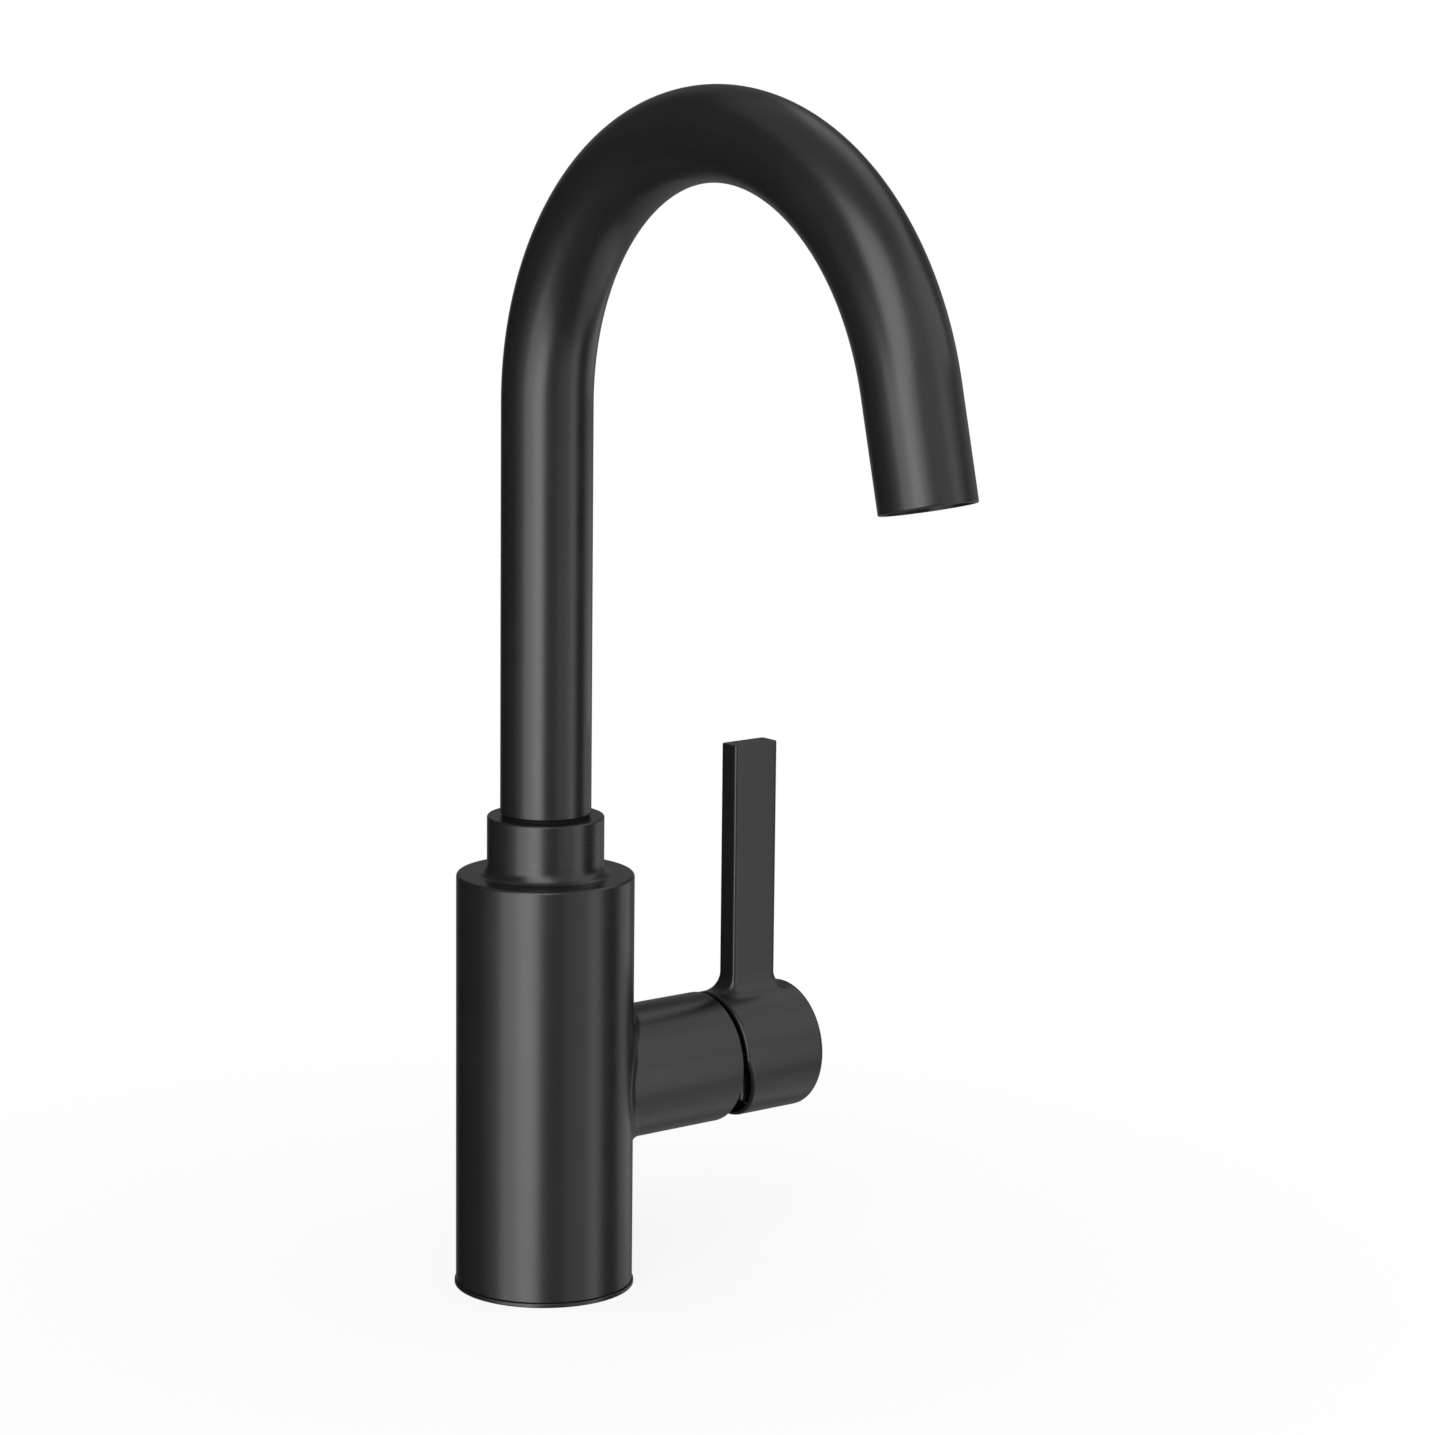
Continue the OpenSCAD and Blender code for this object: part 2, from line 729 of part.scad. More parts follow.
// ---- Outlet --------------------------------------------------------------

module outlet_insert() {
    color("gold") at_outlet() difference() {
        ring(-insert_len, insert_len - aerator_recess + 0.2, insert_r, insert_step_r);
        rod(-gasket_z - aerator_gasket_t, insert_len + cut, insert_in_r);
    }
}

module aerator_gasket() {
    color([0.08, 0.08, 0.08]) at_outlet()
        ring(-gasket_z - aerator_gasket_t, aerator_gasket_t, aerator_r, insert_step_r);
}

module flow_regulator() {
    jets = 12;
    color([0.2, 0.5, 0.75]) at_outlet() difference() {
        rod(-gasket_z, regulator_t, screen_r);
        for (i = [0 : jets - 1]) rotate(i * 360 / jets)
            translate([screen_r * 0.62, 0, -gasket_z - cut]) cylinder(h = regulator_t + 2 * cut, r = 0.8);
    }
}

module aerator_housing() {
    notches = 4;
    color([0.2, 0.2, 0.2]) at_outlet() difference() {
        ring(-gasket_z, aerator_len, aerator_r, lip_in_r);
        rod(-gasket_z - cut, gasket_z + cut - screen_z, aerator_in_r);
        for (i = [0 : notches - 1]) rotate(i * 360 / notches)
            translate([lip_in_r - 0.3, -0.9, -aerator_recess - 0.8]) cube([aerator_r, 1.8, 2]);
    }
}

module aerator_screen() {
    pitch = (screen_r - screen_hole_d) / screen_rings;
    color([0.35, 0.35, 0.36]) at_outlet() difference() {
        rod(-screen_z - screen_t, screen_t, screen_r);
        rod(-screen_z - screen_t - cut, screen_t + 2 * cut, screen_hole_d / 2);
        for (ring_no = [1 : screen_rings], i = [0 : 6 * ring_no - 1]) rotate(i * 60 / ring_no)
            translate([ring_no * pitch, 0, -screen_z - screen_t - cut])
                cylinder(h = screen_t + 2 * cut, r = screen_hole_d / 2, $fn = 24);
    }
}

base_gasket();
base_ring();
body_shell();
valve_body();
collar();
upper_bearing();
lower_bearing();
cartridge_base();
port_seals();
cartridge_housing();
fixed_disc();
cartridge_nut();
dome();
rotor();
temperature_stop();
pivot_pin();
disc_carrier();
moving_disc();
stem();
handle();
handle_set_screw();
spout_tube();
spout_stem();
spout_o_rings();
retaining_ring();
outlet_insert();
aerator_gasket();
flow_regulator();
aerator_housing();
aerator_screen();
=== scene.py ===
"""A satin black gooseneck bar faucet: fine pieces, finishes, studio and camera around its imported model."""

import json
import math

import bmesh
import bpy
import numpy as np
from mathutils import Euler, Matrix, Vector

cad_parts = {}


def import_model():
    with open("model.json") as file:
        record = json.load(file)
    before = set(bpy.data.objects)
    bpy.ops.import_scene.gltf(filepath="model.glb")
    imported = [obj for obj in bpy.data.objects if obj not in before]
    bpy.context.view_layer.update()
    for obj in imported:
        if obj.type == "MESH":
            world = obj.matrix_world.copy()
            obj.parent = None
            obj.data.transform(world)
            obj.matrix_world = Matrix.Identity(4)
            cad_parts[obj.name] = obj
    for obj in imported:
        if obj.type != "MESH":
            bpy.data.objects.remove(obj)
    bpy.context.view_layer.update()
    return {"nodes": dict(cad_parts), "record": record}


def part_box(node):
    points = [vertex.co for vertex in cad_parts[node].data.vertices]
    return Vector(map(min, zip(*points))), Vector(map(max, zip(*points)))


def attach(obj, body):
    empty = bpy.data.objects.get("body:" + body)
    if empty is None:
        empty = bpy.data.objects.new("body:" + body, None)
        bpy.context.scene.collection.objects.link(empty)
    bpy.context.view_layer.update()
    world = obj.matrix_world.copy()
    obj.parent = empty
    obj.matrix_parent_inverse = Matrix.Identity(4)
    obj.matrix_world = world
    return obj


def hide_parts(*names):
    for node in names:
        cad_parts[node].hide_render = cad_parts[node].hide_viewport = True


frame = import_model()

MM = 0.001

# ---- Sizes, in millimetres -----------------------------------------------
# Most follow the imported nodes' boxes, and the rest are the drawing's own values. Angles are in radians.


def box_mm(node):
    """A node's lowest and highest corners in millimetres."""
    low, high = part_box(node)
    return low / MM, high / MM


shell_low, shell_high = box_mm("body_shell")
SHELL_WALL, SHELL_TOP_WALL = 3.0, 6.0
COLUMN_R = 24.9
COLUMN_TOP = shell_high.z
COLUMN_FOOT = shell_low.z
STUB_RIM_X = shell_high.x
COLUMN_EDGE = 0.8
FOOT_CHAMFER = 0.3
CAVITY_R = COLUMN_R - SHELL_WALL
CAVITY_TOP = COLUMN_TOP - SHELL_TOP_WALL
STUB_R = 18.8
STUB_EDGE = 0.5
STUB_FILLET = 4.5
STUB_BORE_R = STUB_R - SHELL_WALL
STUB_BORE_EDGE = 0.2
CARTRIDGE_HOLE_R = 13.9
CARTRIDGE_NECK = 7.0

handle_low, handle_high = box_mm("handle")
AXIS_Z = 56.9
HUB_R = 18.5
HUB_BORE_R = HUB_R - SHELL_WALL
HUB_RIM_X = handle_low.x
HUB_END_X = handle_high.x
HUB_EDGE = 1.0
HUB_END_WALL = 4.0
RIM_BEVEL = 0.8
RIM_FACE = 0.15
RIM_COUNTERSINK = 4.0
RELIEF_START = 2.0
RELIEF_SLOPE = math.tan(math.radians(16.8))
LEVER_TOP = handle_high.z - AXIS_Z
LEVER_W = 15.4
LEVER_T = 6.9
LEVER_X = HUB_RIM_X + 5.9
LEVER_EDGE = 1.1
LEVER_TOP_EDGE = 0.4
LEVER_TOP_RIM = 0.3
FOOT_FILLET_OUT = 2.5
FOOT_FILLET_SIDE = 7.0
SOCKET_X = HUB_RIM_X + 7.3
SOCKET_DEPTH = 10.5
SOCKET_W, SOCKET_H = 6.2, 8.2
SOCKET_BOSS_R = 7.5
HUB_CAVITY_X = HUB_END_X - HUB_END_WALL
SCREW_X = SOCKET_X + 5.5
SCREW_HOLE_R = 2.55

tube_low, tube_high = box_mm("spout_tube")
TUBE_R = 12.7
TUBE_WALL = 1.2
TUBE_EDGE = 0.4
TUBE_FOOT = tube_low.z - 0.35
BEND_R = 77.4
BEND_ANGLE = math.radians(165.9)
BEND_Z = tube_high.z - BEND_R - TUBE_R
TIP_LENGTH = 30.3
SCREEN_R = 8.3
SCREEN_WIRE = 0.3
SCREEN_SPACING = 0.95
SCREEN_BACK = 2.5


def outlet_place(back):
    """The point on the outlet's axis that lies back from its end."""
    along = TIP_LENGTH - back
    return Vector((0, -BEND_R * (1 - math.cos(BEND_ANGLE)) - along * math.sin(BEND_ANGLE),
                   BEND_Z + BEND_R * math.sin(BEND_ANGLE) + along * math.cos(BEND_ANGLE)))


collar_low, collar_high = box_mm("collar")
COLLAR_R = 16.35
COLLAR_COVE = collar_high.x - COLLAR_R
COLLAR_COVE_RISE = 3.8
COLLAR_TOP = collar_high.z
COLLAR_EDGE = 0.5
SPIGOT_R = 12.9
SPIGOT_HOLE_R = SPIGOT_R + 0.3
SPIGOT_FOOT = collar_low.z
THREAD_CHAMFER = 0.3
bearing_low, bearing_high = box_mm("upper_bearing")
BEARING_R = bearing_high.x
BEARING_BODY_R = 11.35
BEARING_BORE_R = 10.18
BEARING_GAP = 0.1
BEARING_SEAT_R = BEARING_BODY_R + 0.05

PIVOT_X = 46.35

SHARP_ANGLE = math.radians(32)
WELD = 0.002
TURN_STEPS = 192

# ---- Meshes built from rows of points ------------------------------------


class Skin:
    """A closed mesh put together from patches, welded where they meet. Points are in millimetres."""

    def __init__(self):
        self.points = []
        self.faces = []

    def patch(self, rows, closed=False):
        """Quads between each row of points and the next. Closed rows join their last point to their first."""
        first = len(self.points)
        width = len(rows[0])
        for row in rows:
            self.points += [tuple(point) for point in row]
        for start in range(first, first + width * (len(rows) - 1), width):
            for j in range(width if closed else width - 1):
                k = (j + 1) % width
                self.faces.append((start + j, start + k, start + width + k, start + width + j))

    def cap(self, row):
        """One flat face that closes a row."""
        first = len(self.points)
        self.points += [tuple(point) for point in row]
        self.faces.append(tuple(range(first, first + len(row))))

    def build(self, name, place):
        """The finished piece. place maps an array of points to the faucet's own frame."""
        work = bmesh.new()
        points = place(np.array(self.points)) * MM
        verts = [work.verts.new(point) for point in points]
        for face in self.faces:
            work.faces.new([verts[i] for i in face])
        bmesh.ops.remove_doubles(work, verts=work.verts, dist=WELD * MM)
        bmesh.ops.dissolve_degenerate(work, edges=work.edges, dist=WELD / 2 * MM)
        bmesh.ops.recalc_face_normals(work, faces=work.faces)
        mesh = bpy.data.meshes.new(name)
        work.to_mesh(mesh)
        work.free()
        return shown(name, mesh)


def shown(name, mesh):
    """Links a mesh to the scene, shaded smooth up to its real edges."""
    mesh.polygons.foreach_set("use_smooth", [True] * len(mesh.polygons))
    mesh.set_sharp_from_angle(angle=SHARP_ANGLE)
    piece = bpy.data.objects.new(name, mesh)
    bpy.context.scene.collection.objects.link(piece)
    shading = piece.modifiers.new("flat_faces_stay_flat", "WEIGHTED_NORMAL")
    shading.keep_sharp = True
    return piece


def upright(points):
    """Keeps points whose local Z is the faucet's Z."""
    return points


def along_valve(points):
    """Moves points whose local X is the valve axis up to that axis."""
    return points + np.array([0, 0, AXIS_Z])


def stub_outward(points):
    """Turns local X into the column's axis and local Z into the valve axis."""
    return points[:, [2, 1, 0]]


def arc(centre, radius, start, end, count):
    """Points of an arc in a flat section, with both ends, for angles in degrees."""
    angles = np.radians(np.linspace(start, end, count))
    return [(centre[0] + radius * math.cos(a), centre[1] + radius * math.sin(a)) for a in angles]


def turned(name, section, axis="z"):
    """A closed section of (radius, height) points, revolved about the column's axis or the valve's."""
    turns = np.linspace(0, 2 * math.pi, TURN_STEPS, endpoint=False)
    skin = Skin()
    rows = []
    for radius, height in section + section[:1]:
        across, up = radius * np.cos(turns), radius * np.sin(turns)
        along = np.full(TURN_STEPS, float(height))
        rows.append(np.stack([across, up, along] if axis == "z" else [along, across, up], axis=-1))
    skin.patch(rows, closed=True)
    return skin.build(name, upright if axis == "z" else along_valve)


# ---- A wall that stands on a cylinder ------------------------------------
# In these functions the cylinder lies along local X and what stands on it points along local Z.
# A window is a stretch of the cylinder around the wall: its border runs round from the corner at
# the far end of X and the low angle, with the same number of points as the wall's outline.


def on_cylinder(radius, x, angle):
    """Points on a cylinder along local X, where angle 0 is straight up."""
    return np.stack([x, radius * np.sin(angle), radius * np.cos(angle)], axis=-1)


def circle_outline(radius, counts):
    """A round outline as (x, y, normal x, normal y). Its sides have counts[0] and counts[1] steps in turn."""
    turns = []
    for side in range(4):
        start = -math.pi / 4 + side * math.pi / 2
        turns += list(np.linspace(start, start + math.pi / 2, counts[side % 2], endpoint=False))
    turns = np.array(turns)
    normal = np.stack([np.cos(turns), np.sin(turns)], axis=-1)
    return np.hstack([radius * normal, normal])


def lever_outline(width, thickness, edge, counts, corner_steps=5):
    """The lever's rounded plan, centred on its middle, in the same form as circle_outline."""
    rows = []
    half = np.array([width / 2 - edge, thickness / 2 - edge])
    for side in range(4):
        turn = side * math.pi / 2
        straight = counts[side % 2] - 2 * corner_steps
        angles = np.concatenate([
            np.linspace(turn - math.pi / 4, turn, corner_steps, endpoint=False),
            np.full(straight + 1, turn),
            np.linspace(turn, turn + math.pi / 4, corner_steps + 1)[1:-1],
        ])
        along = np.concatenate([
            np.full(corner_steps, -1.0), np.linspace(-1, 1, straight + 1), np.full(corner_steps - 1, 1.0)])
        facing = np.array([math.cos(turn), math.sin(turn)])
        beside = np.array([-math.sin(turn), math.cos(turn)])
        for angle, share in zip(angles, along):
            corner = half * (facing + share * beside)
            normal = np.array([math.cos(angle), math.sin(angle)])
            rows.append(np.concatenate([corner + edge * normal, normal]))
    return np.array(rows)


def fillet_rows(host_r, outline, radii, steps=10):
    """Rows of a rolling-ball fillet, from the cylinder up to the wall. radii may change along the outline."""
    x, y, normal_x, normal_y = outline.T
    centre_x, centre_y = x + normal_x * radii, y + normal_y * radii
    centre_z = np.sqrt((host_r + radii) ** 2 - centre_y ** 2)
    centre = np.stack([centre_x, centre_y, centre_z], axis=-1)
    to_host = -np.stack([0 * x, centre_y, centre_z], axis=-1) / (host_r + radii)[:, None]
    to_wall = -np.stack([normal_x, normal_y, 0 * x], axis=-1)
    opening = np.arccos(np.clip((to_host * to_wall).sum(axis=1), -1, 1))[:, None]
    rows = []
    for share in np.linspace(0, 1, steps + 1):
        mix = np.sin((1 - share) * opening) * to_host + np.sin(share * opening) * to_wall
        rows.append(centre + radii[:, None] * mix / np.sin(opening))
    return rows


def hole_ring(host_r, outline, middle_x=0.0, under=False):
    """Where an upright round wall passes through a cylinder, on its upper or its under side."""
    x, y = outline[:, 0], outline[:, 1]
    height = np.sqrt(host_r ** 2 - y ** 2)
    return np.stack([x + middle_x, y, -height if under else height], axis=-1)


def window_border(x_of, middle, half, counts):
    """(x, angle) round a window. x_of gives x from a share along the host and an angle."""
    angles, shares = [], []
    low, high = middle - half, middle + half
    for side, count in enumerate([counts[0], counts[1]] * 2):
        step = np.arange(count) / count
        flat = np.ones(count)
        shares += list([flat, 1 - step, 0 * flat, step][side])
        angles += list([low + (high - low) * step, high * flat, high - (high - low) * step, low * flat][side])
    angles, shares = np.array(angles), np.array(shares)
    return x_of(shares, angles), angles


def window_rows(host_r, ring, border, middle=0.0, steps=5):
    """Rows on the host's surface from a ring out to a window's border."""
    ring_angle = np.arctan2(ring[:, 1], ring[:, 2])
    ring_angle = middle + (ring_angle - middle + math.pi) % (2 * math.pi) - math.pi
    rows = []
    for share in np.linspace(0, 1, steps + 1):
        x = ring[:, 0] + share * (border[0] - ring[:, 0])
        angle = ring_angle + share * (border[1] - ring_angle)
        rows.append(on_cylinder(host_r, x, angle))
    return rows


def around(host_r, x_of, start, end, count, rows, extra=()):
    """Rows round the host between two windows, with extra angles where its edge has a corner."""
    angles = np.union1d(np.linspace(start, end, count + 1), [a for a in extra if start < a < end])
    return angles, [on_cylinder(host_r, x_of(np.full(len(angles), s), angles), angles) for s in rows]


# ---- The column's shell --------------------------------------------------


def body_shell():
    """Column and stub in one piece, with the stub's foot blended into the column."""
    skin = Skin()
    counts = (40, 40)
    half = math.radians(68)
    margin = 7
    window_low, window_high = AXIS_Z - STUB_R - margin, AXIS_Z + STUB_R + margin

    def height(share, angle):
        return window_low + share * (window_high - window_low) + 0 * angle

    outline = circle_outline(STUB_R, counts)
    outline[:, 0] += AXIS_Z
    blend = fillet_rows(COLUMN_R, outline, np.full(len(outline), STUB_FILLET))
    border = window_border(height, 0.0, half, counts)
    skin.patch(window_rows(COLUMN_R, blend[0], border, steps=16), closed=True)
    skin.patch(blend, closed=True)

    # The stub from its blend out to the rim, then in along its bores
    straight_end = STUB_RIM_X - STUB_EDGE
    walls = []
    for share in np.linspace(0, 1, 7):
        x = blend[-1][:, 2] + share * (straight_end - blend[-1][:, 2])
        walls.append(np.stack([outline[:, 0], outline[:, 1], x], axis=-1))
    profile = arc((STUB_R - STUB_EDGE, straight_end), STUB_EDGE, 0, 90, 6)
    profile += arc((STUB_BORE_R + STUB_BORE_EDGE, STUB_RIM_X - STUB_BORE_EDGE), STUB_BORE_EDGE, 90, 180, 3)
    flange_x = box_mm("cartridge_housing")[1].x - CARTRIDGE_NECK
    profile += [(STUB_BORE_R, flange_x), (CARTRIDGE_HOLE_R, flange_x)]
    normal = outline[:, 2:]
    for radius, x in profile:
        walls.append(np.column_stack([AXIS_Z + radius * normal[:, 0], radius * normal[:, 1],
                                      np.full(len(normal), x)]))
    inner = circle_outline(CARTRIDGE_HOLE_R, counts)
    inner[:, 0] += AXIS_Z
    mouth = hole_ring(CAVITY_R, inner)
    walls.append(mouth)
    skin.patch(walls, closed=True)

    # The rest of the column, outside and in its cavity
    shares = np.linspace(0, 1, counts[1] + 1)
    back_angles, back = around(COLUMN_R, height, half, 2 * math.pi - half, 120, shares)
    skin.patch(back)
    skin.patch(window_rows(CAVITY_R, mouth, border, steps=12), closed=True)
    skin.patch(around(CAVITY_R, height, half, 2 * math.pi - half, 120, shares)[1])
    front = np.linspace(-half, half, counts[0] + 1)
    ring = np.concatenate([front, back_angles[1:-1]])
    outer_top = [(COLUMN_R, window_high), (COLUMN_R, COLUMN_TOP - 20), (COLUMN_R, COLUMN_TOP - 4)]
    outer_top += arc((COLUMN_R - COLUMN_EDGE, COLUMN_TOP - COLUMN_EDGE), COLUMN_EDGE, 0, 90, 8)
    outer_top += [(COLUMN_R - 2, COLUMN_TOP), (SPIGOT_HOLE_R, COLUMN_TOP), (SPIGOT_HOLE_R, CAVITY_TOP),
                  (CAVITY_R, CAVITY_TOP), (CAVITY_R, window_high)]
    foot = [(COLUMN_R, window_low), (COLUMN_R, COLUMN_FOOT + FOOT_CHAMFER + 5),
            (COLUMN_R, COLUMN_FOOT + FOOT_CHAMFER), (COLUMN_R - FOOT_CHAMFER, COLUMN_FOOT),
            (CAVITY_R, COLUMN_FOOT), (CAVITY_R, window_low)]
    for section in (outer_top, foot):
        skin.patch([on_cylinder(r, np.full(len(ring), float(z)), ring) for r, z in section], closed=True)
    return skin.build("column_shell", stub_outward)


# ---- The handle ----------------------------------------------------------


def rim_x(radius, angle):
    """Where the hub's rim lies: square to the axis above, and sloping away below in the relief cut."""
    return HUB_RIM_X + RELIEF_SLOPE * np.maximum(0, RELIEF_START - radius * np.cos(angle))


def handle():
    """The hub with its relief cut, and the flat lever that grows out of it in soft fillets."""
    skin = Skin()
    lever_counts, hole_counts = (16, 34), (16, 34)
    half, hole_half = math.radians(34), math.radians(20)
    end_band, rim_band = 1.2, 0.05
    window_end = HUB_END_X - HUB_EDGE - end_band

    def hub_x(share, angle):
        start = rim_x(HUB_R, angle) + RIM_BEVEL
        return start + share * (window_end - start)

    # The lever and its foot
    outline = lever_outline(LEVER_W, LEVER_T, LEVER_EDGE, lever_counts)
    outline[:, 0] += LEVER_X + LEVER_W / 2
    facing_hub, facing_side = outline[:, 2], outline[:, 3]
    foot_in = LEVER_X - HUB_RIM_X - RIM_BEVEL - rim_band
    radii = (facing_hub ** 2 * np.where(facing_hub < 0, foot_in, FOOT_FILLET_OUT)
             + facing_side ** 2 * FOOT_FILLET_SIDE)
    blend = fillet_rows(HUB_R, outline, radii, steps=14)
    border = window_border(hub_x, 0.0, half, lever_counts)
    skin.patch(window_rows(HUB_R, blend[0], border), closed=True)
    skin.patch(blend, closed=True)
    walls = []
    foot_z = blend[-1][:, 2]
    for share in np.linspace(0, 1, 10):
        z = foot_z + share * (LEVER_TOP - LEVER_TOP_EDGE - foot_z)
        walls.append(np.column_stack([outline[:, :2], z]))
    for inset, z in arc((0, LEVER_TOP - LEVER_TOP_EDGE), LEVER_TOP_EDGE, 0, 90, 6)[1:]:
        walls.append(np.column_stack([outline[:, :2] - (LEVER_TOP_EDGE - inset) * outline[:, 2:],
                                      np.full(len(outline), z)]))
    # A narrow rim round the lever's top keeps its shading flat
    crown = walls[-1].copy()
    crown[:, :2] -= LEVER_TOP_RIM * outline[:, 2:]
    skin.patch(walls + [crown], closed=True)
    skin.cap(crown)

    # The set screw's hole, under the hub
    hole = circle_outline(SCREW_HOLE_R, hole_counts)
    mouth = hole_ring(HUB_R, hole, SCREW_X, under=True)
    mouth[:, 1] *= -1
    hole_border = window_border(hub_x, math.pi, hole_half, hole_counts)
    skin.patch(window_rows(HUB_R, mouth, hole_border, math.pi), closed=True)
    hole_top = mouth.copy()
    hole_top[:, 2] = -SOCKET_H / 2 - 0.5
    skin.patch([mouth, hole_top], closed=True)
    skin.cap(hole_top)

    # The hub's two sides, its end and its rim
    corner = math.acos(RELIEF_START / HUB_R)
    shares = np.linspace(0, 1, lever_counts[1] + 1)
    corners = (corner, 2 * math.pi - corner)
    left, left_rows = around(HUB_R, hub_x, half, math.pi - hole_half, 64, shares, corners)
    right, right_rows = around(HUB_R, hub_x, math.pi + hole_half, 2 * math.pi - half, 64, shares, corners)
    skin.patch(left_rows)
    skin.patch(right_rows)
    top = np.linspace(-half, half, lever_counts[0] + 1)
    bottom = np.linspace(math.pi - hole_half, math.pi + hole_half, hole_counts[0] + 1)
    ring = np.concatenate([top, left[1:-1], bottom, right[1:-1]])

    def round_row(radius, x):
        return on_cylinder(radius, x + 0 * ring, ring)

    end = [(HUB_R, window_end)] + arc((HUB_R - HUB_EDGE, HUB_END_X - HUB_EDGE), HUB_EDGE, 0, 90, 8)
    end = [round_row(radius, x) for radius, x in end]
    end_centre = round_row(0.5, HUB_END_X)
    skin.patch(end + [round_row(HUB_R - HUB_EDGE - 1, HUB_END_X), end_centre], closed=True)
    skin.cap(end_centre)
    rim = arc((HUB_R - RIM_BEVEL, RIM_BEVEL), RIM_BEVEL, 0, -90, 6)
    rim += [(HUB_R - RIM_BEVEL - RIM_FACE, 0), (HUB_BORE_R, RIM_COUNTERSINK)]
    inside = [round_row(radius, rim_x(radius, ring) + step) for radius, step in rim]
    inside += [round_row(HUB_BORE_R, HUB_CAVITY_X), round_row(SOCKET_BOSS_R, HUB_CAVITY_X),
               round_row(SOCKET_BOSS_R, SOCKET_X)]
    reach = np.minimum(SOCKET_W / 2 / np.maximum(abs(np.sin(ring)), 1e-9),
                       SOCKET_H / 2 / np.maximum(abs(np.cos(ring)), 1e-9))
    inside += [on_cylinder(1.0, x + 0 * ring, ring) * np.stack([1 + 0 * ring, reach, reach], axis=-1)
               for x in (SOCKET_X, SOCKET_X + SOCKET_DEPTH)]
    skin.patch(inside, closed=True)
    skin.cap(inside[-1])
    return skin.build("lever_handle", along_valve)


# ---- Turned pieces -------------------------------------------------------


def collar():
    """The turned collar, with its cove at the foot and its threaded spigot."""
    section = [(COLLAR_R + COLLAR_COVE * (1 + across), COLUMN_TOP + COLLAR_COVE_RISE * (1 + up))
               for across, up in arc((0, 0), 1, 270, 180, 16)]
    section += arc((COLLAR_R - COLLAR_EDGE, COLLAR_TOP - COLLAR_EDGE), COLLAR_EDGE, 0, 90, 7)
    section += [(BEARING_SEAT_R + THREAD_CHAMFER, COLLAR_TOP), (BEARING_SEAT_R, COLLAR_TOP - THREAD_CHAMFER),
                (BEARING_SEAT_R, SPIGOT_FOOT), (SPIGOT_R - THREAD_CHAMFER, SPIGOT_FOOT),
                (SPIGOT_R, SPIGOT_FOOT + THREAD_CHAMFER), (SPIGOT_R, COLUMN_TOP)]
    return turned("spout_collar", section)


def upper_bearing():
    """The flanged bush between collar and tube."""
    edge = 0.15
    top = TUBE_FOOT - BEARING_GAP
    section = arc((BEARING_R - edge, top - edge), edge, 0, 90, 4)
    section += [(BEARING_BORE_R, top), (BEARING_BORE_R, bearing_low.z), (BEARING_BODY_R, bearing_low.z)]
    section += [(BEARING_BODY_R, COLLAR_TOP), (BEARING_R, COLLAR_TOP)]
    return turned("swivel_bearing", section)


def base_ring():
    """The ring under the column, with the groove for its gasket."""
    high, gasket_high = box_mm("base_ring")[1], box_mm("base_gasket")[1]
    edge, lip_gap, lip_wall, groove_gap, groove_width = 0.25, 0.3, 2.1, 0.1, 2.5
    ring_r, lip_r = high.x, CAVITY_R - lip_gap
    bore_r = lip_r - lip_wall
    groove_out = gasket_high.x + groove_gap
    groove_in = groove_out - groove_width
    section = arc((ring_r - edge, edge), edge, -90, 0, 4)
    section += arc((ring_r - edge, COLUMN_FOOT - edge), edge, 0, 90, 4)
    section += [(lip_r, COLUMN_FOOT), (lip_r, high.z), (bore_r, high.z), (bore_r, 0)]
    section += [(groove_in, 0), (groove_in, gasket_high.z), (groove_out, gasket_high.z), (groove_out, 0)]
    return turned("deck_ring", section)


def dome():
    """The cover under the hub: part of a ball about the pivot, on a straight wall with a flange."""
    low, high = box_mm("dome")
    wall, flange, wall_gap, ball_gap = 1.4, 1.8, 0.6, 0.4
    wall_r, flange_r = HUB_BORE_R - wall_gap, high.y
    ball_r = math.hypot(HUB_RIM_X - PIVOT_X, HUB_BORE_R) - ball_gap
    open_r = math.sqrt(ball_r ** 2 - (high.x - PIVOT_X) ** 2)

    def half_section(radius, ball):
        knee = math.degrees(math.acos(radius / ball))
        mouth = math.degrees(math.acos(open_r / ball))
        return [(ball * math.cos(math.radians(a)), PIVOT_X + ball * math.sin(math.radians(a)))
                for a in np.linspace(knee, mouth, 24)]

    outside = [(flange_r, low.x), (flange_r, low.x + flange), (wall_r, low.x + flange)]
    outside += half_section(wall_r, ball_r)
    inside = half_section(wall_r - wall, ball_r - wall)[::-1]
    return turned("pivot_dome", outside + inside + [(wall_r - wall, low.x)], axis="x")


# ---- Node trees ----------------------------------------------------------


class Value:
    """A node's output that can stand in a formula."""

    def __init__(self, tree, socket):
        self.tree = tree
        self.socket = socket

    def math(self, operation, *others):
        made = self.tree.nodes.new("ShaderNodeMath")
        made.operation = operation
        for slot, other in zip(made.inputs, (self,) + others):
            plug(self.tree, slot, other)
        return Value(self.tree, made.outputs[0])

    def __add__(self, other):
        return self.math("ADD", other)

    def __sub__(self, other):
        return self.math("SUBTRACT", other)

    def __mul__(self, other):
        return self.math("MULTIPLY", other)

    def __truediv__(self, other):
        return self.math("DIVIDE", other)

    __rmul__ = __mul__

    def at_least(self, other):
        return self.math("MAXIMUM", other)

    def at_most(self, other):
        return self.math("MINIMUM", other)

    def sin(self):
        return self.math("SINE")

    def cos(self):
        return self.math("COSINE")


